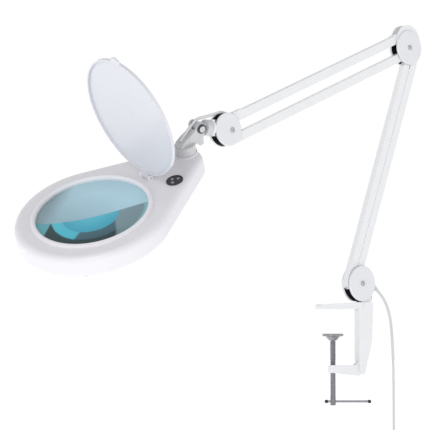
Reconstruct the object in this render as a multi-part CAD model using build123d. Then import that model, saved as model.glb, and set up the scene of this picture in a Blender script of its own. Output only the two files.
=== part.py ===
"""Clamp-on magnifying lamp: a lens head with a lid on a two-section parallelogram arm.

Units are mm. The origin is on the clamp screw's axis, in the jaw's underside, which sits on the table top.
+Z is up and +X points from the jaw to the clamp's column. Arm parts are drawn in the arm's own plane
(x along the plane, z up) and turned with it by ARM. Head parts are drawn in the head's own frame.
"""

import math
import os

from build123d import *

# ---- driving dimensions -------------------------------------------------------------------------
LENS_CLEAR_R = 74.0  # clear radius of the six inch lens
HEAD_R = LENS_CLEAR_R + 29.5  # outer radius of the head round the lens
TAIL_R = 30.0  # radius of the head's narrow end
TAIL_X = 150.0  # from the lens centre to the centre of the narrow end
HEAD_DEPTH = 30.0
LOWER_LENGTH = 354.0  # pivot to pivot
UPPER_LENGTH = 384.0  # pivot to pivot
BAR_HIGH = 12.5  # bar size in the arm's plane
BAR_DEEP = 9.5  # bar size across the arm's plane
COVER_R = 25.5  # round covers at base and elbow
THROAT = 80.0  # from the jaw's underside to the clamp's lower arm
REACH = 36.5  # from the screw's axis to the column
SCREW_R = 3.8
CORD_R = 2.0
COIL_R = 24.2  # middle of the coil's turns

# ---- how it stands at rest -----------------------------------------------------------------------
ARM_YAW = 26.5  # the arm's plane, turned from the clamp's
LOWER_LEAN = 69.2  # lower arm above the horizontal, leaning back
UPPER_SLOPE = 203.6  # direction of the upper arm from the elbow
HEAD_ROLL = 24.0
HEAD_TILT = 31.6
HEAD_TURN = 3.0
LID_OPEN = 88.0

# ---- layers across the arm's plane ---------------------------------------------------------------
PLATE_IN = BAR_DEEP / 2 + 0.25
PLATE_OUT = PLATE_IN + 1.6
COVER_OUT = PLATE_OUT + 2.4
PIN_R = 2.0
RUN = 0.05  # radial clearance of a turning fit
LOOSE = 0.15  # extra clearance where the linkage is open
GAP = 0.3  # between faces that move past each other
WALL = 2.5
BAR_WALL = 1.1
TANG_R = 4.8

# ---- pivots in the arm's plane, as (x, z) --------------------------------------------------------
SWIVEL_X = REACH + 10.5
BASE = (-10.8, COVER_R + 11.0)
LINK_STEP = (16.3, 6.7)  # between the two lower pivots of a link
UPPER_STEP = 29.1  # between the two upper pivots of a link


def add(p, q):
    return (p[0] + q[0], p[1] + q[1])


def along(p, angle, length):
    return (p[0] + length * math.cos(math.radians(angle)), p[1] + length * math.sin(math.radians(angle)))


BASE_MAIN = add(BASE, (-5.7, 6.5))
BASE_SECOND = add(BASE_MAIN, (-LINK_STEP[0], -LINK_STEP[1]))
ELBOW_MAIN = along(BASE_MAIN, LOWER_LEAN, LOWER_LENGTH)
ELBOW_SECOND = along(BASE_SECOND, LOWER_LEAN, LOWER_LENGTH)
ELBOW = add(ELBOW_MAIN, (-17.5, 13.1))
SHOULDER_MAIN = add(ELBOW, (-2.8, 18.9))
SHOULDER_SECOND = add(SHOULDER_MAIN, (0, -UPPER_STEP))
WRIST_MAIN = along(SHOULDER_MAIN, UPPER_SLOPE, UPPER_LENGTH)
WRIST_SECOND = along(SHOULDER_SECOND, UPPER_SLOPE, UPPER_LENGTH)
KNUCKLE = add(WRIST_MAIN, (1.4, -13.2))
KNUCKLE_DISC = add(KNUCKLE, (-6.0, 0.5))
KNUCKLE_R = 22.5
NOSE_Z = KNUCKLE[1] + 1.0
TILT = (KNUCKLE[0] - 54.0, NOSE_Z)

# ---- frames --------------------------------------------------------------------------------------
TURRET_X = TAIL_X + 12.0
TURRET = (-25.7, -27.0)  # the turret's foot, from the tilt pivot
BOSS = 3.0
HINGE = (LENS_CLEAR_R + 18.5, 4.0)
ARM = Pos(SWIVEL_X, 0, 0) * Rot(0, 0, ARM_YAW)
NECK = ARM * Pos(TILT[0], 0, TILT[1]) * Rot(HEAD_ROLL, -HEAD_TILT, 0)
HEAD = NECK * Pos(TURRET[0], 0, TURRET[1]) * Rot(0, 0, HEAD_TURN) * Pos(-TURRET_X, 0, -BOSS)
LID = HEAD * Pos(HINGE[0], 0, HINGE[1]) * Rot(0, LID_OPEN, 0) * Pos(-HINGE[0], 0, -HINGE[1])
NOSE = ARM * Pos(TILT[0], 0, TILT[1]) * Rot(HEAD_ROLL, 0, 0)
TOMMY_YAW = -15.0


# ---- shapes ---------------------------------------------------------------------------------------
def across(radius, y0, y1, point=(0, 0)):
    """A cylinder across the arm's plane, from y0 to y1."""
    return Pos(point[0], (y0 + y1) / 2, point[1]) * Rot(90, 0, 0) * Cylinder(radius, y1 - y0)


def upright(radius, z0, z1, x=0.0, y=0.0):
    return Pos(x, y, (z0 + z1) / 2) * Cylinder(radius, z1 - z0)


def lengthwise(radius, x0, x1, z=0.0):
    return Pos((x0 + x1) / 2, 0, z) * Rot(0, 90, 0) * Cylinder(radius, x1 - x0)


def block(x0, x1, y0, y1, z0, z1):
    return Pos((x0 + x1) / 2, (y0 + y1) / 2, (z0 + z1) / 2) * Box(x1 - x0, y1 - y0, z1 - z0)


def slab(face, y0, y1):
    """A face drawn as (x, z), made solid from y0 to y1."""
    return Pos(0, y1, 0) * Rot(90, 0, 0) * extrude(face, amount=y1 - y0, dir=(0, 0, 1))


def outline(points):
    return Polygon(*points, align=None)


def ring(inner, outer, z0, z1):
    return upright(outer, z0, z1) - upright(inner, z0 - 1, z1 + 1)


def spin(*edges):
    """A solid of revolution about Z, from edges drawn as (radius, z)."""
    return revolve(Plane.XZ * make_face(edges), axis=Axis.Z)


def cap(radius, edge_z, top_z):
    """The profile of a shallow dome whose centre is on the axis."""
    rise = top_z - edge_z
    curve = (radius**2 + rise**2) / (2 * rise)
    half = top_z - curve + math.copysign(math.sqrt(curve**2 - radius**2 / 4), rise)
    return ThreePointArc((0, top_z), (radius / 2, half), (radius, edge_z))


def two_sided(solid):
    return solid + mirror(solid, Plane.XZ)


def egg(radius, tail_radius, distance):
    """Two circles joined by their outer tangents."""
    lean = math.asin((radius - tail_radius) / distance)
    wide = (radius * math.sin(lean), radius * math.cos(lean))
    slim = (distance + tail_radius * math.sin(lean), tail_radius * math.cos(lean))
    return make_face(
        [
            Line(wide, slim),
            ThreePointArc(slim, (distance + tail_radius, 0), (slim[0], -slim[1])),
            Line((slim[0], -slim[1]), (wide[0], -wide[1])),
            ThreePointArc((wide[0], -wide[1]), (-radius, 0), wide),
        ]
    )


def prism(face, z0, z1):
    return Pos(0, 0, z0) * extrude(face, amount=z1 - z0, dir=(0, 0, 1))


# ---- clamp ----------------------------------------------------------------------------------------
COLUMN_DEEP = 20.0
JAW_WIDE = 24.0
LOWER_WIDE = 15.0
COLUMN_TOP = 9.8
COLUMN_X1 = REACH + 21.2
PAD_TOP = -35.3
HEAD_END = -THROAT - 57.3
HEAD_TOP = HEAD_END + 13.9
TOMMY_Z = HEAD_END + 5.7
TOMMY_R = 1.65


def clamp_frame():
    """The casting: jaw, column, lower arm and screw boss."""
    jaw = slab(outline([(-22, 0), (REACH + 6, 0), (REACH + 6, 9.4), (REACH, 9.4), (-20.5, 6.4), (-22, 5)]),
               -JAW_WIDE / 2, JAW_WIDE / 2)
    jaw = fillet(jaw.edges().filter_by(Axis.Z), 0.8)
    column = outline([
        (REACH, COLUMN_TOP), (REACH, -THROAT - 8), (REACH + 6, -THROAT - 14), (REACH + 9.5, -THROAT - 10),
        (COLUMN_X1 - 3.8, -THROAT + 27), (COLUMN_X1 - 1.9, -THROAT + 35), (COLUMN_X1, COLUMN_TOP),
    ])
    column = slab(column, -COLUMN_DEEP / 2, COLUMN_DEEP / 2)
    column = fillet(column.edges().filter_by(Axis.Y).group_by(Axis.Z)[-1].sort_by(Axis.X)[-1:], 1.5)
    lower = outline([
        (0, -THROAT), (REACH - 5, -THROAT), (REACH - 1.5, -THROAT + 1.5), (REACH, -THROAT + 5),
        (REACH + 1, -THROAT - 15), (REACH - 2, -THROAT - 15.5), (0, -THROAT - 11.5),
    ])
    lower = slab(lower, -LOWER_WIDE / 2, LOWER_WIDE / 2)
    heel = outline([
        (REACH - 3, -THROAT + 2), (REACH + 12.5, -THROAT + 4), (REACH + 5.5, -THROAT - 11),
        (REACH + 3, -THROAT - 14), (REACH, -THROAT - 15.5), (REACH - 3, -THROAT - 15.2),
    ])
    heel = slab(heel, -LOWER_WIDE / 2, LOWER_WIDE / 2)
    boss = upright(LOWER_WIDE / 2, -THROAT - 11, -THROAT)
    frame = jaw + column + lower + heel + boss
    frame -= upright(SCREW_R + RUN, -THROAT - 20, -THROAT + 5)
    frame -= upright(SWIVEL_PIN_R + RUN, SWIVEL_PIN_FOOT - 1, COLUMN_TOP + 1, SWIVEL_X)
    return frame


def pressure_plate():
    """The round plate that rides on the screw's ball end."""
    plate = spin(
        Line((0, PAD_TOP), (14.2, PAD_TOP)), Line((14.2, PAD_TOP), (15, PAD_TOP - 0.8)),
        Line((15, PAD_TOP - 0.8), (15, PAD_TOP - 3.2)), Line((15, PAD_TOP - 3.2), (10.5, PAD_TOP - 4)),
        Line((10.5, PAD_TOP - 4), (5.2, PAD_TOP - 9.7)), Line((5.2, PAD_TOP - 9.7), (0, PAD_TOP - 9.7)),
        Line((0, PAD_TOP - 9.7), (0, PAD_TOP)),
    )
    plate -= upright(3.9, PAD_TOP - 8.9, PAD_TOP - 4.3)
    return plate - upright(2.9, PAD_TOP - 10, PAD_TOP - 8)


def clamp_screw():
    ball = upright(3.6, PAD_TOP - 8.6, PAD_TOP - 4.6)
    neck = upright(2.6, PAD_TOP - 11, PAD_TOP - 8)
    thread = upright(SCREW_R, HEAD_TOP, PAD_TOP - 10.5)
    head = fillet(upright(SCREW_R + 0.15, HEAD_END, HEAD_TOP).edges().filter_by(GeomType.CIRCLE), 0.8)
    hole = Pos(0, 0, TOMMY_Z) * Rot(0, 0, TOMMY_YAW) * Rot(0, 90, 0) * Cylinder(TOMMY_R + RUN, 20)
    return ball + neck + thread + head - hole


def tommy_bar():
    bar = lengthwise(TOMMY_R, -9.5, 51.8, TOMMY_Z)
    return Rot(0, 0, TOMMY_YAW) * bar


def tommy_balls():
    balls = Compound([Pos(x, 0, TOMMY_Z) * Sphere(2.8) - lengthwise(TOMMY_R, -9.5, 51.8, TOMMY_Z)
                      for x in (-9.5, 51.8)])
    return Rot(0, 0, TOMMY_YAW) * balls


# ---- base joint -----------------------------------------------------------------------------------
SWIVEL_PIN_R = 5.0
SWIVEL_PIN_FOOT = -26.0
NECK_BOTTOM = COLUMN_TOP + GAP
RELIEF_FROM = add(BASE, (20.5, 5.0))
RELIEF_ANGLE = -38.0
RELIEF_LENGTH = 22.0


def base_fork():
    """Two ears on a web, standing on the swivel pin."""
    ears = two_sided(across(COVER_R - 0.5, PLATE_IN, PLATE_OUT, BASE))
    web = outline([add(BASE, p) for p in (
        (4.2, -COVER_R + 1.5), (4.2, 12.5), (6.9, 19.5), (14.5, 18.5), (20, 12), (22.5, 6), (22.5, -10),
        (21.5, -COVER_R + 1.5))])
    web = slab(web, -PLATE_IN, PLATE_IN)
    foot = block(-11, 11, -6.5, 6.5, NECK_BOTTOM, NECK_BOTTOM + 13)
    foot = fillet(foot.edges().filter_by(Axis.Z), 4)
    fork = ears + web + foot
    fork -= upright(SWIVEL_PIN_R, NECK_BOTTOM - 1, NECK_BOTTOM + 12)
    for point in (BASE_MAIN, BASE_SECOND):
        fork -= across(PIN_R, -20, 20, point)
    fork -= across(SCREW_SHANK, -20, -PLATE_IN + 1, BASE)
    fork -= across(SCREW_SHANK, PLATE_IN - 1, 20, BASE)
    fork -= relief_hole()
    return ARM * fork


def relief_frame():
    return Pos(RELIEF_FROM[0], 0, RELIEF_FROM[1]) * Rot(0, -RELIEF_ANGLE, 0)


def relief_hole():
    return relief_frame() * lengthwise(3.6, -5, 12)


def cord_relief():
    """A tapered sleeve, its root held in the web."""
    root = lengthwise(3.6, -5, 3)
    taper = spin(Line((0, 3), (3.4, 3)), Line((3.4, 3), (CORD_R + 0.6, RELIEF_LENGTH)),
                 Line((CORD_R + 0.6, RELIEF_LENGTH), (0, RELIEF_LENGTH)), Line((0, RELIEF_LENGTH), (0, 3)))
    return ARM * relief_frame() * (root + Rot(0, 90, 0) * taper)


def swivel_pin():
    pin = upright(SWIVEL_PIN_R, SWIVEL_PIN_FOOT, NECK_BOTTOM + 12)
    return ARM * chamfer(pin.edges().group_by(Axis.Z)[0], 0.8)


# ---- covers, screws and pins at the three joints ---------------------------------------------------
SCREW_SHANK = 1.5
SCREW_HEAD = 3.4


def cover(radius, centre, screw, side):
    """A round cover with a rounded rim and a dished middle for its screw."""
    disc = across(radius, -COVER_OUT, -PLATE_OUT, centre)
    disc = fillet(disc.edges().filter_by(GeomType.CIRCLE).group_by(Axis.Y)[0], 1.1)
    disc -= across(SCREW_HEAD + 1.0, -COVER_OUT - 1, -COVER_OUT + 0.7, screw)
    disc -= across(SCREW_SHANK, -20, 0, screw)
    return ARM * (disc if side < 0 else mirror(disc, Plane.XZ))


def cover_screws(screw):
    """One cross-head screw through each cover into the plate behind it."""
    seat = -COVER_OUT + 0.7
    head = across(SCREW_HEAD, seat - 1.7, seat, screw)
    head = fillet(head.edges().filter_by(GeomType.CIRCLE).group_by(Axis.Y)[0], 0.9)
    for angle in (40, 130):
        head -= Pos(screw[0], seat - 1.7, screw[1]) * Rot(0, angle, 0) * Box(4.2, 1.5, 0.9)
    whole = head + across(SCREW_SHANK, seat, -PLATE_IN - 0.1, screw)
    return ARM * Compound([whole, mirror(whole, Plane.XZ)])


def pivot_pins(points):
    return ARM * Compound([across(PIN_R, -PLATE_OUT, PLATE_OUT, p) for p in points])


# ---- the four bars ---------------------------------------------------------------------------------
TAIL_END = 6.5  # a lower bar runs this far past its base pivot
SLEEVE = 10.0  # a bar stops this far from a pivot with a tang
PLUG_IN = 14.0
LIP = 1.3


def bar_frame(start, angle):
    return ARM * Pos(start[0], 0, start[1]) * Rot(0, -angle, 0)


def bar(start, angle, length, square_end, lip):
    """A box-section bar. A square end runs past its pivot; a lip thickens one face at both ends."""
    first = -TAIL_END if square_end else SLEEVE
    last = length - SLEEVE
    half, deep = BAR_HIGH / 2, BAR_DEEP / 2
    shell = block(first, last, -deep, deep, -half, half)
    if lip:
        for x in (first, last - 18):
            shell += block(x, x + 18, -deep, deep, -half - LIP, -half + 1)
    shell = fillet(shell.edges().filter_by(Axis.X), 0.7)
    shell -= block(first - 1, last + 1, -deep + BAR_WALL, deep - BAR_WALL, -half + BAR_WALL, half - BAR_WALL)
    if square_end:
        shell -= across(PIN_R + RUN, -20, 20)
    return bar_frame(start, angle) * shell


def tang(turn, bore):
    """An end fitting for the bar's far end: a plug in the bar and a rounded eye on the pivot."""
    high, deep = BAR_HIGH / 2 - BAR_WALL, BAR_DEEP / 2 - BAR_WALL
    plug = block(-SLEEVE - PLUG_IN, -SLEEVE, -deep, deep, -high, high)
    eye = block(-SLEEVE, 0, -BAR_DEEP / 2 + 0.15, BAR_DEEP / 2 - 0.15, -TANG_R, TANG_R)
    eye += across(TANG_R, -BAR_DEEP / 2 + 0.15, BAR_DEEP / 2 - 0.15)
    return Rot(0, turn, 0) * (plug + eye - across(PIN_R + bore, -20, 20))


def bar_ends(start, angle, length, square_end, bore):
    high, deep = BAR_HIGH / 2 - BAR_WALL, BAR_DEEP / 2 - BAR_WALL
    if square_end:
        near = block(-TAIL_END + 0.5, PLUG_IN, -deep, deep, -high, high) - across(PIN_R + RUN, -20, 20)
    else:
        near = tang(180, RUN)
    return bar_frame(start, angle) * Compound([near, Pos(length, 0, 0) * tang(0, bore)])


def balance_spring(start, angle, length, square_end):
    """The close-wound spring inside a bar, drawn as its envelope, with a straight wire to each end."""
    first = PLUG_IN if square_end else SLEEVE + PLUG_IN
    last = length - SLEEVE - PLUG_IN
    middle = length * 0.45
    wire = lengthwise(0.8, first, last)
    coil = lengthwise(3.1, middle - 75, middle + 75)
    return bar_frame(start, angle) * (wire + fillet(coil.edges().filter_by(GeomType.CIRCLE), 1.0))


# ---- elbow ------------------------------------------------------------------------------------------
def elbow_link():
    """Two side plates joined by a web behind the pivots. The plates rise above the covers."""
    face = egg(COVER_R - 0.5, COVER_R - 1.0, 9.2)
    plate = slab(Rot(0, 0, 90) * face, PLATE_IN, PLATE_OUT)
    web = slab(outline([(7, 0), (20.5, 0), (22, 8), (18.5, 20), (9.5, 28), (7, 22)]), -PLATE_IN, PLATE_IN)
    link = Pos(ELBOW[0], 0, ELBOW[1]) * (two_sided(plate) + web)
    for point in (ELBOW_MAIN, ELBOW_SECOND, SHOULDER_MAIN, SHOULDER_SECOND):
        link -= across(PIN_R, -20, 20, point)
    link -= across(SCREW_SHANK, -20, -PLATE_IN, ELBOW)
    link -= across(SCREW_SHANK, PLATE_IN, 20, ELBOW)
    return ARM * link


# ---- knuckle, nose and neck --------------------------------------------------------------------------
NOSE_PIN_R = 3.4
NOSE_FACE = KNUCKLE[0] - 33.0
COLLAR_R = 10.8
TONGUE_R = 6.4
KNOB_R = 6.4
KNOB_END = 14.0


def knuckle_link():
    """Two round side plates on a block that holds the nose's pin, with a rod the cable lies on."""
    plates = two_sided(across(KNUCKLE_R - 0.4, PLATE_IN, PLATE_OUT, KNUCKLE_DISC))
    body = block(NOSE_FACE, KNUCKLE[0] - 12.5, -PLATE_IN, PLATE_IN, NOSE_Z - 11, NOSE_Z + 11)
    socket = lengthwise(9.8, NOSE_FACE, NOSE_FACE + 4, NOSE_Z)
    rest = across(1.5, -PLATE_IN - 0.5, PLATE_IN + 0.5, add(KNUCKLE, (-5.6, 18.84)))
    link = plates + body + socket + rest
    link -= lengthwise(NOSE_PIN_R + RUN, NOSE_FACE - 1, KNUCKLE[0] - 13.5, NOSE_Z)
    for point in (WRIST_MAIN, WRIST_SECOND):
        link -= across(PIN_R, -20, 20, point)
    link -= across(SCREW_SHANK, -20, -PLATE_IN, KNUCKLE)
    link -= across(SCREW_SHANK, PLATE_IN, 20, KNUCKLE)
    return ARM * link


def nose():
    """The swivelling nose: a pin in the knuckle, a round collar and a flat tongue for the tilt bolt."""
    pin_end = KNUCKLE[0] - 14.5 - TILT[0]
    face = NOSE_FACE - GAP - TILT[0]
    collar = lengthwise(COLLAR_R, 10.2, face)
    collar = fillet(collar.edges().filter_by(GeomType.CIRCLE), 1.5)
    tongue = block(0, 12, -4, 4, -TONGUE_R, TONGUE_R) + across(TONGUE_R, -4, 4)
    whole = lengthwise(NOSE_PIN_R, face - 1, pin_end) + collar + tongue - across(2.5, -20, 20)
    return NOSE * whole


def neck_cable_points():
    x, z = KNUCKLE
    return [(x - 1, 0, z + 21.5), (x - 12, 0, z + 24.5), (x - 26, -0.5, z + 20), (x - 42, -1, z + 15.2),
            (x - 58.5, -1, z + 10.8), (x - 68.5, 3.8, z - 4.5), (x - 76.2, 9.8, z - 19.9)]


def neck_cable_hole():
    """Clearance in the neck round the last of the cable."""
    before, end = (Vector(*p) for p in neck_cable_points()[-2:])
    step = (end - before).normalized()
    start = Plane(origin=end - step * 14, z_dir=step).location
    return ARM * start * extrude(Circle(CORD_R + GAP), amount=15)


def neck_arm():
    """The neck: two cheeks on the tongue, a body and the turret that turns on the head."""
    body = slab(outline([
        (-37, -18), (-37, -13), (-33, -9), (-24, -4.5), (-14, -1), (-7, 3.5), (-3, 6), (0, 6.5), (4, 5.2),
        (6.5, 0), (5.5, -6.5), (1.2, -12.5), (0, -16), (0, -21.5), (-1.5, -23.6), (-6.5, -23.6), (-10.5, -18),
    ]), -7.6, 7.6)
    body -= block(-9.6, 14, -4 - GAP, 4 + GAP, -12, 14)
    turret = upright(14, TURRET[1] + GAP, TURRET[1] + 12.5, TURRET[0])
    turret = fillet(turret.edges().filter_by(GeomType.CIRCLE).group_by(Axis.Z)[-1], 1.2)
    stub = upright(6, TURRET[1] - BOSS - WALL - 6, TURRET[1] + 1, TURRET[0])
    return NECK * (body + turret + stub - across(2.5 + RUN, -20, 20)) - neck_cable_hole()


def neck_nut():
    """Holds the turret's stub under the head's top wall."""
    top = TURRET[1] - BOSS - WALL - GAP
    hexagon = extrude(RegularPolygon(9.5, 6), amount=3.6)
    return NECK * (Pos(TURRET[0], 0, top - 3.6) * hexagon - upright(6, -60, 0, TURRET[0]))


def tilt_washers():
    return NECK * Compound([across(6.6, y, y + 1.5) - across(2.5 + RUN, -20, 20) for y in (-9.1, 7.6)])


def tilt_bolt():
    """A domed head, a shank through cheeks and tongue, and a threaded end in the knob."""
    head = across(4.6, -11.1, -9.1)
    head = fillet(head.edges().filter_by(GeomType.CIRCLE).group_by(Axis.Y)[0], 1.2)
    return NECK * (head + across(2.45, -9.1, KNOB_END - 2))


def tilt_knob():
    """The round knob at the back that sets the tilt's friction."""
    knob = across(KNOB_R, 9.1, KNOB_END)
    knob = fillet(knob.edges().filter_by(GeomType.CIRCLE).group_by(Axis.Y)[-1], 1.5)
    for i in range(10):
        knob -= Rot(0, 36 * i, 0) * across(1.0, 0, 40, (KNOB_R + 0.5, 0))
    return NECK * (knob - across(2.45, 0, KNOB_END - 2))


# ---- head ---------------------------------------------------------------------------------------------
SPLIT = -12.0  # where the two shells meet
LEDGE_R = LENS_CLEAR_R + 2.3
RING_R = LENS_CLEAR_R + 7.0
PANEL_X = TAIL_X - 39.2
LEAN = math.asin((HEAD_R - TAIL_R) / TAIL_X)
HALF_WIDTH = (HEAD_R - PANEL_X * math.sin(LEAN)) / math.cos(LEAN)  # of the head, beside the switch
PANEL = (PANEL_X, 19.95 - HALF_WIDTH)
BUTTON_R = 2.1
BUTTONS = ((5.4, -1.2), (-0.4, 4.2), (-5.2, -2.2))
BOARD_Z = -22.0
DRIVER_X = HEAD_R + 0.5  # the driver board starts here, clear of the ring board
POST_XY = (HEAD_R - 6.8) / math.sqrt(2)
SCREW_POSTS = [(TAIL_X - 12, 26), (TAIL_X - 12, -26), (-POST_XY, POST_XY), (-POST_XY, -POST_XY)]


def upper_shell():
    """The white top: lens seat, turret boss, lid lugs and the switch's openings."""
    outer = prism(egg(HEAD_R, TAIL_R, TAIL_X), SPLIT, 0)
    outer = fillet(outer.faces().sort_by(Axis.Z)[-1].edges(), 9)
    inner = prism(egg(HEAD_R - WALL, TAIL_R - WALL, TAIL_X), SPLIT - 1, -WALL)
    inner = fillet(inner.faces().sort_by(Axis.Z)[-1].edges(), 6.5)
    shell = outer - inner + ring(LEDGE_R - 1, LEDGE_R + 3.7, SPLIT, -1)
    shell += upright(15, -WALL, BOSS, TURRET_X)
    shell -= upright(LEDGE_R, -6, 5)
    shell -= upright(LENS_CLEAR_R, -50, 5)
    shell -= upright(6 + RUN, -20, 20, TURRET_X)
    lug = slab(outline([(HINGE[0] - 4, -1), (HINGE[0] - 2.6, HINGE[1] + 1.5), (HINGE[0], HINGE[1] + 3.2),
                        (HINGE[0] + 2.6, HINGE[1] + 1.5), (HINGE[0] + 4, -1)]), 6.5, 10.5)
    shell += two_sided(lug)
    shell -= across(LID_PIN_R + RUN, -20, 20, HINGE)
    for x, y in BUTTONS:
        shell -= upright(BUTTON_R + GAP, -20, 5, PANEL[0] + x, PANEL[1] + y)
    for y in (-9, 9):
        shell += upright(1.8, -4.8, -WALL + 0.5, PANEL[0] + 9.5, PANEL[1] + y * 0.6)
        shell += upright(1.8, -4.8, -WALL + 0.5, PANEL[0] - 9.5, PANEL[1] + y * 0.6)
    for x, y in SCREW_POSTS:
        shell += upright(3.2, SPLIT, -WALL + 0.5, x, y)
        shell -= upright(1.4, SPLIT - 1, SPLIT + 7, x, y)
    return HEAD * shell


def lower_shell():
    """The white underside, with the lens well and four light windows."""
    bottom = -HEAD_DEPTH
    outer = prism(egg(HEAD_R, TAIL_R, TAIL_X), bottom, SPLIT)
    outer = fillet(outer.faces().sort_by(Axis.Z)[0].edges(), 7)
    inner = prism(egg(HEAD_R - WALL, TAIL_R - WALL, TAIL_X), bottom + WALL, SPLIT + 1)
    inner = fillet(inner.faces().sort_by(Axis.Z)[0].edges(), 4.5)
    shell = outer - inner + ring(LENS_CLEAR_R - 1, LENS_CLEAR_R + 2, bottom, SPLIT)
    shell += ring(LENS_CLEAR_R + 1, LENS_CLEAR_R + 6, BOARD_Z - 2, BOARD_Z)
    shell -= upright(LENS_CLEAR_R - 1, -60, 5)
    window = ring(LENS_CLEAR_R + 7, HEAD_R - 9, bottom - 1, bottom + WALL + 0.5)
    for angle in (45, 135):
        window -= Rot(0, 0, angle) * Box(300, 10, 100)
    shell -= window
    for x, y in SCREW_POSTS:
        shell += upright(3.2, bottom + 0.5, SPLIT, x, y)
        shell -= upright(SCREW_SHANK, bottom - 1, SPLIT + 1, x, y)
        shell -= upright(3.6, bottom - 1, bottom + 1.5, x, y)
    for x in (DRIVER_X + 8, DRIVER_X + 36):
        shell += upright(2, bottom + WALL - 0.5, BOARD_Z - 0.6, x, 8)
    return HEAD * shell


def head_screws():
    seat = -HEAD_DEPTH + 1.5
    screws = []
    for x, y in SCREW_POSTS:
        head = upright(3.3, seat - 1.6, seat, x, y) - Pos(x, y, seat - 1.6) * Box(4.4, 0.9, 1.4)
        screws.append(head + upright(1.4, seat, SPLIT + 6, x, y))
    return HEAD * Compound(screws)


def lens():
    """A six inch glass, thicker in the middle on both sides."""
    r, edge = LENS_CLEAR_R, LENS_CLEAR_R + 2.2
    return HEAD * spin(
        cap(r, -2, 3), Line((r, -2), (edge, -2)), Line((edge, -2), (edge, -6)),
        Line((edge, -6), (r, -6)), cap(r, -6, -11), Line((0, -11), (0, 3)),
    )


def lens_ring():
    """The stepped ring that holds the lens down."""
    r = LENS_CLEAR_R
    points = [(r, -2), (LEDGE_R - 0.1, -2), (LEDGE_R - 0.1, 0), (RING_R, 0), (RING_R, 1.4), (RING_R - 1.2, 2.2),
              (RING_R - 1.2, 3.0), (RING_R - 3.6, 3.8), (r + 1.2, 3.2), (r, 1.2)]
    return HEAD * revolve(Plane.XZ * outline(points), axis=Axis.Z)


def clear_of_posts(disc):
    for x, y in SCREW_POSTS:
        disc -= upright(3.8, -40, 0, x, y)
    return disc


def diffuser():
    floor = -HEAD_DEPTH + WALL
    return HEAD * clear_of_posts(ring(LENS_CLEAR_R + 4, HEAD_R - 7.5, floor, floor + 2))


def led_board():
    """A ring board, with its light-emitting chips in a row on the underside."""
    board = clear_of_posts(ring(LENS_CLEAR_R + 4, HEAD_R - 5, BOARD_Z, BOARD_Z + 1.6))
    for i in range(36):
        board += Rot(0, 0, 10 * i) * Pos(LENS_CLEAR_R + 13, 0, BOARD_Z - 0.5) * Box(5, 5, 1.2)
    return HEAD * board


def driver_board():
    """The supply board in the tail, with its larger parts."""
    board = block(DRIVER_X, DRIVER_X + 42, -12, 14, BOARD_Z - 0.6, BOARD_Z + 1)
    for step, y, size, high in ((8, -4, 9, 6), (20, 4, 12, 8), (34, -5, 7, 5)):
        x = DRIVER_X + step
        board += block(x - size / 2, x + size / 2, y - size / 2, y + size / 2, BOARD_Z + 0.5, BOARD_Z + high)
    return HEAD * board


def switch_bezel():
    oval = extrude(Ellipse(11.6, 10.6) - Ellipse(10.4, 9.4), amount=1.8)
    oval = chamfer(oval.faces().sort_by(Axis.Z)[-1].edges(), 0.4)
    return HEAD * Pos(PANEL[0], PANEL[1], 0) * oval


def switch_panel():
    panel = extrude(Ellipse(10.4, 9.4), amount=1.2)
    for x, y in BUTTONS:
        panel -= upright(BUTTON_R + GAP, -5, 5, x, y)
    return HEAD * Pos(PANEL[0], PANEL[1], 0) * panel


def switch_board():
    return HEAD * block(PANEL[0] - 12, PANEL[0] + 12, PANEL[1] - 7.5, PANEL[1] + 7.5, -6.2, -4.8)


def button(place):
    """A button cap with a flange that keeps it in."""
    cap = upright(BUTTON_R, -4.2, 1.6)
    cap = fillet(cap.edges().filter_by(GeomType.CIRCLE).group_by(Axis.Z)[-1], 0.5)
    x, y = place
    return HEAD * Pos(PANEL[0] + x, PANEL[1] + y, 0) * (cap + upright(BUTTON_R + 0.8, -4.2, -WALL - RUN))


# ---- lid ------------------------------------------------------------------------------------------------
LID_R = RING_R + 3.4
LID_PIN_R = 1.2


def lid():
    """A shallow dome with a skirt round the ring, a thumb tab and the hinge's barrel."""
    r = LID_R
    dome = spin(
        cap(r, 5, 9), Line((r, 5), (r, 1)), Line((r, 1), (r - 2.2, 1)),
        Line((r - 2.2, 1), (r - 2.2, 4)), cap(r - 2.2, 4, 7), Line((0, 7), (0, 9)),
    )
    tab = prism(outline([(-r + 1, -10), (-r + 1, 10), (-r - 4, 8), (-r - 7, 0), (-r - 4, -8)]), 1, 3.4)
    arm = block(r - 1, HINGE[0], -6, 6, 1.2, 4.6)
    barrel = across(3, -6, 6, HINGE)
    return LID * (dome + tab + arm + barrel - across(LID_PIN_R, -20, 20, HINGE))


def lid_pin():
    return LID * across(LID_PIN_R, -10.5, 10.5, HINGE)


# ---- the short cable to the head and the supply cord -------------------------------------------------------
def cable_path(points):
    """Straight runs joined by tangent arcs, each as large as its two runs allow."""
    vectors = [Vector(*p) for p in points]
    radii = []
    for a, b, c in zip(vectors, vectors[1:], vectors[2:]):
        turn = math.radians((b - a).get_angle(c - b))
        radii.append(0.45 * min((b - a).length, (c - b).length) / math.tan(turn / 2))
    print("radii", [round(r, 1) for r in radii], "from", points[0])
    return FilletPolyline(*points, radius=radii)


def tube(points, radius):
    path = cable_path(points)
    whole = sweep(Plane(origin=path @ 0, z_dir=path % 0) * Circle(radius), path=path)
    print("tube length", round(path.length, 1), "volume ratio",
          round(whole.volume / (math.pi * radius**2 * path.length), 4))
    return whole


def neck_cable():
    """The cable from between the knuckle's plates, over the nose and into the neck."""
    return ARM * tube(neck_cable_points(), CORD_R)


COIL_TOP = -THROAT - 102.0
COIL_HIGH = 7.2  # half the height of the wound section
COIL_WIDE = 8.3  # half its width
OUTER_TURN = COIL_R + COIL_HIGH - CORD_R - 0.1
SIDE_TURN = COIL_WIDE - CORD_R - 0.15


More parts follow.
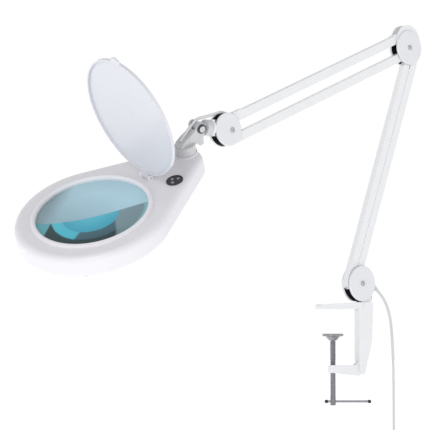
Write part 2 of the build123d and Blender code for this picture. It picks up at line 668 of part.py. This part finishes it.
def relief_end():
    return along(RELIEF_FROM, RELIEF_ANGLE, RELIEF_LENGTH)


def cord_points():
    """The hanging cord, from its relief down to the coil."""
    x, z = relief_end()
    end = (x + 28.1, COIL_TOP - COIL_R - COIL_HIGH + 8)
    first = along((x, z), RELIEF_ANGLE, 12.8)
    return [(x, 0, z), (first[0], 0, first[1]), (x + 19.6, 0, z - 19.9), (x + 26.1, -0.2, z - 34.4),
            (x + 29.6, -0.6, z - 51.9), (x + 31.1, -1.4, z - 74.9), (x + 31.4, -2.6, z - 105),
            (end[0] + 2.3, -4, end[1] + 93.5), (end[0] + 0.7, -5.3, end[1] + 60.5),
            (end[0], -SIDE_TURN, end[1] + 29.5), (end[0], -SIDE_TURN, end[1])]


def coil_centre():
    x, _, _ = cord_points()[-1]
    return (x - OUTER_TURN, COIL_TOP - COIL_R - COIL_HIGH)


def cord_tube():
    return ARM * tube(cord_points(), CORD_R)


def cord_coil():
    """The outer shape of the wound length, hanging in the arm's plane."""
    c = coil_centre()
    outer = across(COIL_R + COIL_HIGH, -COIL_WIDE, COIL_WIDE, c)
    whole = outer - across(COIL_R - COIL_HIGH, -20, 20, c)
    whole = fillet(whole.edges().filter_by(GeomType.CIRCLE), 2.5)
    whole -= upright(CORD_R, c[1] + 8, COIL_TOP, c[0] + OUTER_TURN, -SIDE_TURN)
    return ARM * (whole - upright(CORD_R, PLUG_TOP - 1, c[1] - 8, c[0] + OUTER_TURN, SIDE_TURN))


def cord_tie():
    """A strap round the coil's turns, at the top."""
    c = coil_centre()
    strap = block(c[0] - 4, c[0] + 4, -COIL_WIDE - 1, COIL_WIDE + 1, c[1] + COIL_R - COIL_HIGH - 1,
                  c[1] + COIL_R + COIL_HIGH + 1)
    inner = across(COIL_R + COIL_HIGH, -COIL_WIDE, COIL_WIDE, c) - across(COIL_R - COIL_HIGH, -20, 20, c)
    inner = fillet(inner.edges().filter_by(GeomType.CIRCLE), 2.5)
    return ARM * (strap - inner)


PLUG_TOP = COIL_TOP - 2 * (COIL_R + COIL_HIGH) - 3
PLUG_LONG = 30.0


def plug_x():
    return coil_centre()[0] + OUTER_TURN


def plug_body():
    """A flat two-pin plug hanging from the coil, with its tapered relief."""
    shell = block(-6.5, 6.5, -12, 12, -22 - PLUG_LONG, -22)
    shell = fillet(shell.edges().filter_by(Axis.Z), 3)
    taper = spin(Line((0, 0), (3, 0)), Line((3, 0), (4.4, -24)), Line((4.4, -24), (0, -24)), Line((0, -24), (0, 0)))
    stub = upright(CORD_R, -1, coil_centre()[1] - 8 - PLUG_TOP)
    return ARM * Pos(plug_x(), SIDE_TURN, PLUG_TOP) * (shell + stub + taper)


def plug_pins():
    pins = Compound([block(-0.75, 0.75, y - 3.15, y + 3.15, -39 - PLUG_LONG, -22 - PLUG_LONG) for y in (-6.35, 6.35)])
    return ARM * Pos(plug_x(), SIDE_TURN, PLUG_TOP) * pins


# ---- every node ----------------------------------------------------------------------------------------------
LOWER = (LOWER_LEAN, LOWER_LENGTH, True)
UPPER = (UPPER_SLOPE, UPPER_LENGTH, False)
NODES = {
    "clamp_frame": clamp_frame(),
    "pressure_plate": pressure_plate(),
    "clamp_screw": clamp_screw(),
    "tommy_bar": tommy_bar(),
    "tommy_balls": tommy_balls(),
    "base_fork": base_fork(),
    "swivel_pin": swivel_pin(),
    "base_cover_front": cover(COVER_R, BASE, BASE, -1),
    "base_cover_back": cover(COVER_R, BASE, BASE, 1),
    "base_cover_screws": cover_screws(BASE),
    "base_pins": pivot_pins([BASE_MAIN, BASE_SECOND]),
    "cord_relief": cord_relief(),
    "cord_tube": cord_tube(),
    "cord_coil": cord_coil(),
    "cord_tie": cord_tie(),
    "plug_body": plug_body(),
    "plug_pins": plug_pins(),
    "lower_main_bar": bar(BASE_MAIN, *LOWER, False),
    "lower_main_ends": bar_ends(BASE_MAIN, *LOWER, RUN),
    "lower_second_bar": bar(BASE_SECOND, *LOWER, False),
    "lower_second_ends": bar_ends(BASE_SECOND, *LOWER, LOOSE),
    "lower_second_spring": balance_spring(BASE_SECOND, *LOWER),
    "elbow_link": elbow_link(),
    "elbow_cover_front": cover(COVER_R, ELBOW, ELBOW, -1),
    "elbow_cover_back": cover(COVER_R, ELBOW, ELBOW, 1),
    "elbow_cover_screws": cover_screws(ELBOW),
    "elbow_pins": pivot_pins([ELBOW_MAIN, ELBOW_SECOND, SHOULDER_MAIN, SHOULDER_SECOND]),
    "upper_main_bar": bar(SHOULDER_MAIN, *UPPER, True),
    "upper_main_ends": bar_ends(SHOULDER_MAIN, *UPPER, RUN),
    "upper_second_bar": bar(SHOULDER_SECOND, *UPPER, False),
    "upper_second_ends": bar_ends(SHOULDER_SECOND, *UPPER, LOOSE),
    "upper_second_spring": balance_spring(SHOULDER_SECOND, *UPPER),
    "knuckle_link": knuckle_link(),
    "knuckle_cover_front": cover(KNUCKLE_R, KNUCKLE_DISC, KNUCKLE, -1),
    "knuckle_cover_back": cover(KNUCKLE_R, KNUCKLE_DISC, KNUCKLE, 1),
    "knuckle_cover_screws": cover_screws(KNUCKLE),
    "knuckle_pins": pivot_pins([WRIST_MAIN, WRIST_SECOND]),
    "neck_cable": neck_cable(),
    "nose": nose(),
    "neck_arm": neck_arm(),
    "neck_nut": neck_nut(),
    "tilt_bolt": tilt_bolt(),
    "tilt_washers": tilt_washers(),
    "tilt_knob": tilt_knob(),
    "upper_shell": upper_shell(),
    "lower_shell": lower_shell(),
    "head_screws": head_screws(),
    "lens": lens(),
    "lens_ring": lens_ring(),
    "diffuser": diffuser(),
    "led_board": led_board(),
    "driver_board": driver_board(),
    "switch_bezel": switch_bezel(),
    "switch_panel": switch_panel(),
    "switch_board": switch_board(),
    "button_first": button(BUTTONS[0]),
    "button_second": button(BUTTONS[1]),
    "button_third": button(BUTTONS[2]),
    "lid": lid(),
    "lid_pin": lid_pin(),
}

os.makedirs("parts", exist_ok=True)
for name, solid in NODES.items():
    export_step(solid, f"parts/{name}.step")
print(len(NODES), "nodes")
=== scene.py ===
"""Clamp-on magnifying lamp, seen as it stands on a table's edge. Units are metres in the model's frame."""

import math

import bpy
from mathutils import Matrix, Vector


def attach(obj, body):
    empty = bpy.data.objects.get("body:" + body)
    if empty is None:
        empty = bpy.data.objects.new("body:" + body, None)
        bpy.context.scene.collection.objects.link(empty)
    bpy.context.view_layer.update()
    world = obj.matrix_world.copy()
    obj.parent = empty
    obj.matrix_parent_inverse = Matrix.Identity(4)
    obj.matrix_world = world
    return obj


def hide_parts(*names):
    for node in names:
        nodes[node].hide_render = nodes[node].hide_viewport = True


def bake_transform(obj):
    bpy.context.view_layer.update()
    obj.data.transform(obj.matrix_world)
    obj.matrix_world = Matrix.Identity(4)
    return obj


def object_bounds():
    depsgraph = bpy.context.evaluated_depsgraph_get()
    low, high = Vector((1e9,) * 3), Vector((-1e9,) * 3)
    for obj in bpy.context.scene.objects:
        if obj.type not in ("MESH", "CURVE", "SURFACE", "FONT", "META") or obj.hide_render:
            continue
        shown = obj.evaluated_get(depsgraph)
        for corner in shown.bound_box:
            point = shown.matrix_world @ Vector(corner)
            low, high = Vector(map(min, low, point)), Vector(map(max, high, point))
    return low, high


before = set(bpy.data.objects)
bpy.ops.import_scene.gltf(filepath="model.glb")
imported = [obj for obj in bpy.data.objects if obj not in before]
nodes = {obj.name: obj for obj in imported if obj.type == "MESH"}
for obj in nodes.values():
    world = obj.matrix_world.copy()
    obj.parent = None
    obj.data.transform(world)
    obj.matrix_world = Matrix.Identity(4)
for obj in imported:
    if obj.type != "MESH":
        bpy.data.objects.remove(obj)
CAD_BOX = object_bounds()

# ---- camera ---------------------------------------------------------------------------------------
CAMERA_PLACE = (-0.828, -2.446, -0.023)
CAMERA_TURN = (math.radians(93.5), 0, math.radians(-14.965))  # 90 degrees would look level
FOCAL_MM = 150.7
SENSOR_MM = 36
CLIP_END = 60

# ---- frames ---------------------------------------------------------------------------------------
SWIVEL = 0.047  # the base swivel's axis, along X
YAW = math.radians(26.5)  # the arm's plane, turned about the swivel

# Centres between the side plates, as x and z in mm in the arm's own plane.
FORK = (-10.8, 36.5)
ELBOW = (91.708, 387.028)
KNUCKLE = (-261.575, 238.994)

# The head's frame: its origin at the lens's centre on the top face, and its turn as Euler angles.
HEAD_PLACE = (-0.38326, -0.16692, 0.12346)
HEAD_TURNED = (math.radians(26.097), math.radians(-29.955), math.radians(15.520))


def arm(x, y, z):
    """A point in the arm's own plane, given in mm, as a point in the model's frame."""
    x, y, z = x / 1000, y / 1000, z / 1000
    cos, sin = math.cos(YAW), math.sin(YAW)
    return Vector((SWIVEL + x * cos - y * sin, x * sin + y * cos, z))


def near_knuckle(x, y, z):
    """A point in the arm's own plane, given in mm from the knuckle's centre."""
    return arm(KNUCKLE[0] + x, y, KNUCKLE[1] + z)


def link(obj):
    bpy.context.scene.collection.objects.link(obj)
    return obj


def aim_camera():
    data = bpy.data.cameras.new("camera")
    data.lens = FOCAL_MM
    data.sensor_width = SENSOR_MM
    data.clip_end = CLIP_END
    cam = link(bpy.data.objects.new("camera", data))
    cam.location = CAMERA_PLACE
    cam.rotation_euler = CAMERA_TURN
    bpy.context.scene.camera = cam


# ---- shader tools ---------------------------------------------------------------------------------
class Shader:
    """A new material's node tree, with short ways to add the nodes used here."""

    def __init__(self, name):
        self.material = bpy.data.materials.new(name)
        self.material.use_nodes = True
        self.nodes = self.material.node_tree.nodes
        self.links = self.material.node_tree.links
        self.finish = self.nodes["Principled BSDF"].inputs

    def feed(self, slot, value):
        """Give an input a value, which is another node's output, a Field or a plain value."""
        if isinstance(value, Field):
            value = value.socket
        if isinstance(value, bpy.types.NodeSocket):
            self.links.new(value, slot)
        else:
            slot.default_value = value

    def node(self, kind, inputs, **attributes):
        new = self.nodes.new("ShaderNode" + kind)
        for name, value in attributes.items():
            setattr(new, name, value)
        for name, value in inputs.items():
            self.feed(new.inputs[name], value)
        return new

    def object_space(self):
        return self.node("TexCoord", {}).outputs["Object"]

    def local_space(self, place, turn):
        """Coordinates in the frame at this place with this turn."""
        inputs = {"Location": place, "Rotation": turn, "Vector": self.object_space()}
        return self.node("Mapping", inputs, vector_type="TEXTURE").outputs["Vector"]

    def noise(self, scale, detail):
        inputs = {"Vector": self.object_space(), "Scale": scale, "Detail": detail}
        return self.node("TexNoise", inputs).outputs["Fac"]

    def remap(self, value, low, high, start=0.0, end=1.0):
        """A value from start to end, carried to low to high."""
        inputs = {"Value": value, "From Min": start, "From Max": end, "To Min": low, "To Max": high}
        return self.node("MapRange", inputs).outputs["Result"]

    def mix(self, under, over, factor):
        inputs = {"Factor": factor, "A": under, "B": over}
        return self.node("Mix", inputs, data_type="RGBA").outputs["Result"]

    def layers(self, base, stack):
        """Colours laid over a base in turn, each where its mask is 1."""
        for colour, mask in stack:
            base = self.mix(base, colour, mask)
        return base

    def relief(self, height, strength, distance):
        inputs = {"Height": height, "Strength": strength, "Distance": distance}
        self.feed(self.finish["Normal"], self.node("Bump", inputs).outputs["Normal"])

    def axes(self, vector):
        """A vector's three numbers, as Fields."""
        split = self.node("SeparateXYZ", {"Vector": vector})
        return [Field(self, split.outputs[axis]) for axis in "XYZ"]


class Field:
    """A number that varies over a surface, built up from shader math."""

    def __init__(self, shader, socket):
        self.shader, self.socket = shader, socket

    def op(self, kind, other=None, clamp=False):
        node = self.shader.node("Math", {}, operation=kind, use_clamp=clamp)
        self.shader.feed(node.inputs[0], self)
        if other is not None:
            self.shader.feed(node.inputs[1], other)
        return Field(self.shader, node.outputs[0])

    def __add__(self, other):
        return self.op("ADD", other)

    def __sub__(self, other):
        return self.op("SUBTRACT", other)

    def __mul__(self, other):
        return self.op("MULTIPLY", other)

    def __neg__(self):
        return self * -1

    def over(self, edge, soft):
        """0 below the edge and 1 above it, with a soft step between."""
        return ((self - edge) * (1 / soft)).op("ADD", 0.5, clamp=True)


def length(u, v):
    return (u * u + v * v).op("SQRT")


# ---- finishes -------------------------------------------------------------------------------------
GRAIN_DEPTH, THREAD_DEPTH = 0.0002, 0.0006
MOTTLE_FROM, MOTTLE_TO = 0.3, 0.7  # the part of the noise's range that colours vary over


def surface(name, colour, rough, metal=0.0, vary=0.03, grain=900.0, bump=0.05, mottle=60.0, coat=0.0,
            spec=0.5, subsurface=0.0, rough_vary=0.06):
    """A finish with slow colour variation, uneven gloss and a fine grain."""
    s = Shader(name)
    slow = s.noise(mottle, 4)
    darker = (*[c * (1 - vary) for c in colour], 1)
    lighter = (*[min(1, c * (1 + vary)) for c in colour], 1)
    factor = s.remap(slow, 0, 1, MOTTLE_FROM, MOTTLE_TO)
    s.feed(s.finish["Base Color"], s.mix(darker, lighter, factor))
    smooth, dull = max(0.02, rough - rough_vary), min(1, rough + rough_vary)
    s.feed(s.finish["Roughness"], s.remap(slow, smooth, dull))
    s.relief(s.noise(grain, 3), bump, GRAIN_DEPTH)
    s.finish["Metallic"].default_value = metal
    s.finish["Coat Weight"].default_value = coat
    s.finish["Specular IOR Level"].default_value = spec
    s.finish["Subsurface Weight"].default_value = subsurface
    return s


def thread(name, colour, pitch):
    """A turned steel finish whose relief is a fine thread along Z."""
    ridge_at_one = 0.314  # metres from ridge to ridge when the wave texture's scale is 1
    s = surface(name, colour, 0.28, metal=1.0, vary=0.06, grain=1500, bump=0.1)
    inputs = {"Vector": s.object_space(), "Scale": ridge_at_one / pitch}
    ridges = s.node("TexWave", inputs, bands_direction="Z").outputs["Fac"]
    s.relief(ridges, 0.9, THREAD_DEPTH)
    return s


PLATE_GAP = 0.0052  # from the arm's plane to the inner face of a side plate
PLATE_EDGE, PART_EDGE = 0.0002, 0.0005  # how softly the painted shade begins, across the plates and along them
NO_LIMIT = 40  # farther than any side plate reaches, in mm
WHITE = (0.77, 0.775, 0.79)
# the colour of the shade painted between the side plates
PAINTED_SHADE = (0.018, 0.019, 0.022, 1)


def paint_with_shade_inside(name, centre, left=-NO_LIMIT, top=NO_LIMIT):
    """White paint, with painted shade between the side plates where it is right of left and below top.

    Both are in mm from the centre.
    """
    s = surface(name, WHITE, 0.3, coat=0.2, bump=0.1, grain=1400, vary=0.012)
    place = arm(centre[0], 0, centre[1])
    x, y, z = s.axes(s.local_space(place, (0, 0, YAW)))
    inside = (-y.op("ABSOLUTE")).over(-PLATE_GAP, PLATE_EDGE)
    mask = inside * x.over(left / 1000, PART_EDGE) * (-z).over(-top / 1000, PART_EDGE)
    painted = s.finish["Base Color"].links[0].from_socket
    # paint the shade between the side plates over the white
    s.feed(s.finish["Base Color"], s.mix(painted, PAINTED_SHADE, mask))
    return s


def srgb(*values):
    """A colour given in 8 bit sRGB, as linear light."""
    return (*[v / 255 / 12.92 if v < 11 else ((v / 255 + 0.055) / 1.055) ** 2.4 for v in values], 1)


# Colours of the reflections and refractions painted on the lens.
PALE, PALE_TOP, PALE_LEFT = srgb(164, 198, 212), srgb(192, 228, 240), srgb(150, 175, 183)
CYAN_MIDDLE, CYAN, CYAN_RIM = srgb(92, 196, 216), srgb(74, 178, 204), srgb(90, 204, 222)
SLATE, CRESCENT, GREY_REFLECTION = srgb(76, 110, 122), srgb(46, 74, 76), srgb(128, 155, 162)
EDGE_RIGHT, EDGE_LEFT = srgb(145, 200, 204), srgb(105, 180, 192)
REFLECTIONS_TURN = math.radians(54)  # from the head's frame to the painted reflection bands' own axes, about the lens's centre
WAVER = 2.5  # how far the bands stray sideways, in mm
BANDS_CENTRE = (2, -9)  # the point that the bright bands curve round, along and across them
BRIGHT_R, CRESCENT_R = 38, 52  # where the brightest band and the dark crescent begin, from that point
EDGE_R = 69  # where the glass's edge begins, from the lens's centre


def glass_with_painted_reflections():
    """Thick glass with painted reflections and refractions in blue-green: a pale upper part, bright bands
    and a dark crescent at the rim.
    """
    s = Shader("glass_painted_reflections")
    wobble = s.noise(30, 2)
    in_head = s.local_space(HEAD_PLACE, HEAD_TURNED)
    turned = s.node("Mapping", {"Vector": in_head, "Rotation": (0, 0, REFLECTIONS_TURN), "Scale": (1000,) * 3})

    # Here a runs along the bands and b across them, in mm from the lens's centre.
    a, b, _ = s.axes(turned.outputs["Vector"])
    b = b + (Field(s, wobble) - 0.5) * WAVER
    edge = a * 0.36 + a * a * 0.004 - 19
    below = (edge - b).over(0, 1.0)
    reach = length(a - BANDS_CENTRE[0], b - BANDS_CENTRE[1])
    outside = reach.over(BRIGHT_R, 1.5)
    right = (a + b * -0.3).over(12, 4)

    upper = s.layers(PALE, [
        (PALE_TOP, (b + a * 0.35).over(2, 70)),
        (PALE_LEFT, (-a).over(52, 22)),
    ])
    lower = s.layers(CYAN_MIDDLE, [
        (CYAN, reach.over(26, 20)),
        (CYAN_RIM, outside),
        (SLATE, outside * right),
        (CRESCENT, reach.over(CRESCENT_R, 2.0)),
        (GREY_REFLECTION, (a * 0.95 + b * 0.3).over(30, 3) * reach.over(BRIGHT_R - 1, 2)),
        (EDGE_RIGHT, length(a, b).over(EDGE_R, 3) * a.over(58, 8)),
        (EDGE_LEFT, (-a + b * 0.1).over(45, 2)),
    ])
    # the painted reflections become the glass's colour
    s.feed(s.finish["Base Color"], s.mix(upper, lower, below))
    s.feed(s.finish["Roughness"], s.remap(wobble, 0.02, 0.07))
    s.relief(wobble, 0.02, 0.0005)
    s.finish["Transmission Weight"].default_value = 0.3
    s.finish["IOR"].default_value = 1.5
    return s


SHELL = surface("head_white", (0.735, 0.725, 0.755), 0.32, coat=0.2, bump=0.03, vary=0.008, rough_vary=0.04)
LENS_RING = surface("ring_white", (0.76, 0.755, 0.785), 0.26, coat=0.3, bump=0.02, vary=0.008)
COVER = surface("cover_white", (0.71, 0.72, 0.745), 0.34, coat=0.12, bump=0.06, vary=0.012)
PAINT = surface("white_paint", WHITE, 0.3, coat=0.2, bump=0.1, grain=1400, vary=0.012)
# the fork, elbow and knuckle links have shade painted between their side plates
FORK_PAINT_AND_SHADE = paint_with_shade_inside("fork_paint_and_shade", FORK)
ELBOW_PAINT_AND_SHADE = paint_with_shade_inside("elbow_paint_and_shade", ELBOW, top=9)
KNUCKLE_PAINT_AND_SHADE = paint_with_shade_inside("knuckle_paint_and_shade", KNUCKLE, left=-27.5)
NOSE = surface("nose_paint", (0.55, 0.555, 0.57), 0.3, coat=0.2, bump=0.1, grain=1400, vary=0.015)
NECK = surface("neck_grey", (0.56, 0.565, 0.57), 0.24, coat=0.35, vary=0.05, bump=0.04, mottle=45)
CAST = surface("cast_paint", (0.74, 0.745, 0.76), 0.4, coat=0.1, bump=0.25, grain=700, vary=0.015)
LID = surface("lid_white", (0.66, 0.665, 0.715), 0.3, coat=0.15, bump=0.02, vary=0.006, rough_vary=0.03)
STEEL = surface("bright_steel", (0.55, 0.55, 0.57), 0.2, metal=1.0, vary=0.05, bump=0.05)
ZINC = surface("zinc_plate", (0.30, 0.305, 0.32), 0.3, metal=1.0, vary=0.14, bump=0.15, mottle=150)
THREAD = thread("screw_thread", (0.33, 0.335, 0.35), 0.00125)
SPRING = surface("spring_steel", (0.35, 0.35, 0.36), 0.3, metal=1.0, vary=0.1)
BLACK = surface("black_plastic", (0.02, 0.02, 0.022), 0.38, vary=0.2, bump=0.1)
RUBBER = surface("washer_black", (0.05, 0.05, 0.06), 0.5, vary=0.2, bump=0.2)
BUTTON = surface("button_grey", (0.30, 0.31, 0.32), 0.4, vary=0.1, bump=0.1)
CORD = surface("cord_plastic", (0.60, 0.605, 0.615), 0.4, vary=0.02, bump=0.12, grain=1200)
NECK_CABLE = surface("cable_plastic", (0.66, 0.665, 0.675), 0.3, coat=0.3, vary=0.02, bump=0.08, grain=1200)
BOARD = surface("board_white", (0.7, 0.72, 0.7), 0.5, vary=0.05)
FROST = surface("frosted", (0.85, 0.85, 0.83), 0.6, vary=0.02, subsurface=0.3)
GLASS = glass_with_painted_reflections()

FINISH = {
    SHELL: ["upper_shell", "lower_shell"],
    LENS_RING: ["lens_ring"],
    COVER: ["base_cover_front", "base_cover_back", "elbow_cover_front", "elbow_cover_back",
            "knuckle_cover_front", "knuckle_cover_back"],
    PAINT: ["lower_main_bar", "lower_second_bar", "lower_main_ends", "lower_second_ends",
            "upper_main_bar", "upper_second_bar", "upper_main_ends", "upper_second_ends"],
    FORK_PAINT_AND_SHADE: ["base_fork"],
    ELBOW_PAINT_AND_SHADE: ["elbow_link"],
    KNUCKLE_PAINT_AND_SHADE: ["knuckle_link"],
    NOSE: ["nose"],
    NECK: ["neck_arm", "tilt_knob"],
    CAST: ["clamp_frame"],
    LID: ["lid"],
    STEEL: ["base_cover_screws", "elbow_cover_screws", "knuckle_cover_screws", "head_screws",
            "base_pins", "elbow_pins", "knuckle_pins", "plug_pins",
            "swivel_pin", "lid_pin", "tilt_bolt", "neck_nut"],
    ZINC: ["pressure_plate", "tommy_bar"],
    THREAD: ["clamp_screw"],
    SPRING: ["lower_second_spring", "upper_second_spring"],
    BLACK: ["switch_bezel", "switch_panel", "cord_tie", "tommy_balls"],
    RUBBER: ["tilt_washers"],
    BUTTON: ["button_first", "button_second", "button_third"],
    CORD: ["cord_relief", "plug_body"],
    BOARD: ["led_board", "driver_board", "switch_board"],
    FROST: ["diffuser"],
    GLASS: ["lens"],
}


def paint_nodes():
    for shader, names in FINISH.items():
        for name in names:
            nodes[name].data.materials.clear()
            nodes[name].data.materials.append(shader.material)


# ---- supply cord and neck cable -------------------------------------------------------------------
CORD_DIAMETER = 0.004


def spline(name, points, shader):
    """A smooth round cord that has these points as its control points."""
    data = bpy.data.curves.new(name, "CURVE")
    data.dimensions = "3D"
    s = data.splines.new("NURBS")
    s.points.add(len(points) - 1)
    for target, point in zip(s.points, points):
        target.co = (*point, 1)
    s.order_u = 3
    s.use_endpoint_u = True
    s.resolution_u = 8
    data.bevel_depth = CORD_DIAMETER / 2
    data.bevel_resolution = 5
    data.use_fill_caps = True
    data.materials.append(shader.material)
    return link(bpy.data.objects.new(name, data))


# The supply cord's route, in mm in the arm's own plane. It hangs from the fork, then winds into a flat coil.
HANG = [(27.04, 0, 27.96), (37.12, 0, 20.07), (46.64, 0, 8.06), (53.14, -0.2, -6.44), (56.64, -0.6, -23.94),
        (58.14, -1.4, -46.94), (58.44, -2.6, -77.04), (57.44, -4, -111.9), (55.84, -5.3, -144.9),
        (55.14, -6.15, -175.9), (55.14, -6.15, -203)]
TAIL = [(55.14, 6.15, -222), (55.14, 6.15, -234), (55.1, 6.15, -246)]
COIL_X, COIL_Z = 25.84, -213.4
OUTER = 29.3  # radius of the outermost turns
PITCH = 4.1  # from one turn to the next, and from one layer to the next
LAYERS, LAYER_TURNS = 4, 2.5
FIRST_Y = -PITCH * (LAYERS - 1) / 2
CROSSING = 0.2  # how much of a turn the cord takes to pass half way to the next layer
STEPS = 16  # control points in a turn


def coil():
    """Control points of a coil that winds inward and outward by turns, one layer beside the other."""
    points = []
    on_circle = math.cos(math.pi / STEPS)  # the curve touches its control polygon at the middle of each side
    for i in range(round(LAYERS * LAYER_TURNS * STEPS) + 1):
        t = i / STEPS
        layer = min(LAYERS - 1, int(t / LAYER_TURNS))
        done = t - LAYER_TURNS * layer
        left = LAYER_TURNS - done
        y = FIRST_Y + PITCH * layer
        if left < CROSSING and layer < LAYERS - 1:
            y += PITCH / 2 * (CROSSING - left) / CROSSING
        if done < CROSSING and layer > 0:
            y -= PITCH / 2 * (CROSSING - done) / CROSSING
        r = (OUTER - PITCH * (done if layer % 2 == 0 else left)) / on_circle
        a = -2 * math.pi * t
        points.append((COIL_X + r * math.cos(a), y, COIL_Z + r * math.sin(a)))
    return points


def supply_cord():
    cord = spline("supply_cord", [arm(*p) for p in HANG + coil() + TAIL], CORD)
    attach(cord, "fork")
    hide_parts("cord_tube", "cord_coil")
    arm(*HANG[0])


# The short cable's route, in mm from the knuckle's centre, with a piece for each joint that it bends over.
OVER_NOSE = [(-1, 0, 21.5), (-7, 0, 23.2), (-12, 0, 24.2), (-19, -0.3, 22.3), (-26, -0.5, 19.9),
             (-34, -0.8, 17.4), (-42, -1, 15.2), (-48, -1, 13.6)]
TO_NECK = [(-48, -1, 13.6), (-53, -1, 12.3), (-58.2, -0.6, 9.8), (-62.5, 0.9, 4.6), (-66, 2.6, -0.7),
           (-69, 4.2, -5.5), (-72.4, 6.8, -12.3), (-76.2, 9.8, -19.9)]

# Where each piece begins and ends its bend, between the two bodies.
NOSE_BEND = (-24, 0, 20), (-46, 0, 20)
NECK_BEND = (-50, 0, 12), (-70, 4, -8)


def bending(name, points, first, second, start, end):
    """A short length of cable as a mesh, laid from one body to the next."""
    curve = spline(name, [near_knuckle(*p) for p in points], NECK_CABLE)
    bpy.context.view_layer.update()
    mesh = bpy.data.meshes.new_from_object(curve.evaluated_get(bpy.context.evaluated_depsgraph_get()))
    bpy.data.objects.remove(curve)
    for polygon in mesh.polygons:
        polygon.use_smooth = True
    piece = link(bpy.data.objects.new(name, mesh))
    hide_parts("neck_cable")
    near_knuckle(*start)
    near_knuckle(*end)
    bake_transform(piece)


# ---- surroundings ---------------------------------------------------------------------------------
FLOOR_DROP = 0.002  # below the lowest point
FLOOR_HALF = 12
FLOOR_GLOW = 0.6
SKY_BOTTOM, SKY_TOP = (0.92, 0.92, 0.93, 1), (0.5, 0.5, 0.52, 1)
SKY_LEVELS = ((0.42, 1.0), (0.61, 1.0), (0.76, 0.76))  # height from bottom 0 to top 1, and brightness there
SKY_BLUE = 1.005  # blue over red
KEY_PLACE, KEY_TARGET = (-1.5, -2.2, 0.7), (-0.1, 0, 0.2)
KEY_SIZE, KEY_POWER = 0.9, 8


def lay_floor():
    low, half = CAD_BOX[0][2] - FLOOR_DROP, FLOOR_HALF
    mesh = bpy.data.meshes.new("floor")
    mesh.from_pydata([(-half, -half, low), (half, -half, low), (half, half, low), (-half, half, low)], [],
                     [(0, 1, 2, 3)])
    pale = surface("floor_white", (0.9, 0.9, 0.9), 0.8, vary=0.002, bump=0.0, spec=0.05)
    pale.finish["Emission Color"].default_value = (1, 1, 1, 1)
    pale.finish["Emission Strength"].default_value = FLOOR_GLOW
    mesh.materials.append(pale.material)
    link(bpy.data.objects.new("floor", mesh))


def light_world():
    """A white studio, brightest round the sides and dimmer overhead."""
    world = bpy.data.worlds.new("studio")
    bpy.context.scene.world = world
    world.use_nodes = True
    sky, links = world.node_tree.nodes, world.node_tree.links
    where = sky.new("ShaderNodeTexCoord")
    axes = sky.new("ShaderNodeSeparateXYZ")
    height = sky.new("ShaderNodeMapRange")
    height.inputs["From Min"].default_value = -1
    height.inputs["From Max"].default_value = 1
    shade = sky.new("ShaderNodeValToRGB")
    shade.color_ramp.elements[0].color = SKY_BOTTOM
    shade.color_ramp.elements[1].color = SKY_TOP
    for place, level in SKY_LEVELS:
        shade.color_ramp.elements.new(place).color = (level, level, level * SKY_BLUE, 1)
    links.new(where.outputs["Generated"], axes.inputs["Vector"])
    links.new(axes.outputs["Z"], height.inputs["Value"])
    links.new(height.outputs["Result"], shade.inputs["Fac"])
    links.new(shade.outputs["Color"], sky["Background"].inputs["Color"])
    sky["Background"].inputs["Strength"].default_value = 1.0


def softbox(name, place, target, size, power):
    data = bpy.data.lights.new(name, "AREA")
    data.size = size
    data.energy = power
    lamp = link(bpy.data.objects.new(name, data))
    lamp.location = place
    lamp.rotation_euler = (Vector(target) - Vector(place)).to_track_quat("-Z", "Y").to_euler()


aim_camera()
paint_nodes()
supply_cord()
bending("cable_over_nose", OVER_NOSE, "knuckle", "nose", *NOSE_BEND)
bending("cable_to_neck", TO_NECK, "nose", "neck", *NECK_BEND)
lay_floor()
light_world()
softbox("key", KEY_PLACE, KEY_TARGET, KEY_SIZE, KEY_POWER)
bpy.context.scene.view_settings.view_transform = "Standard"
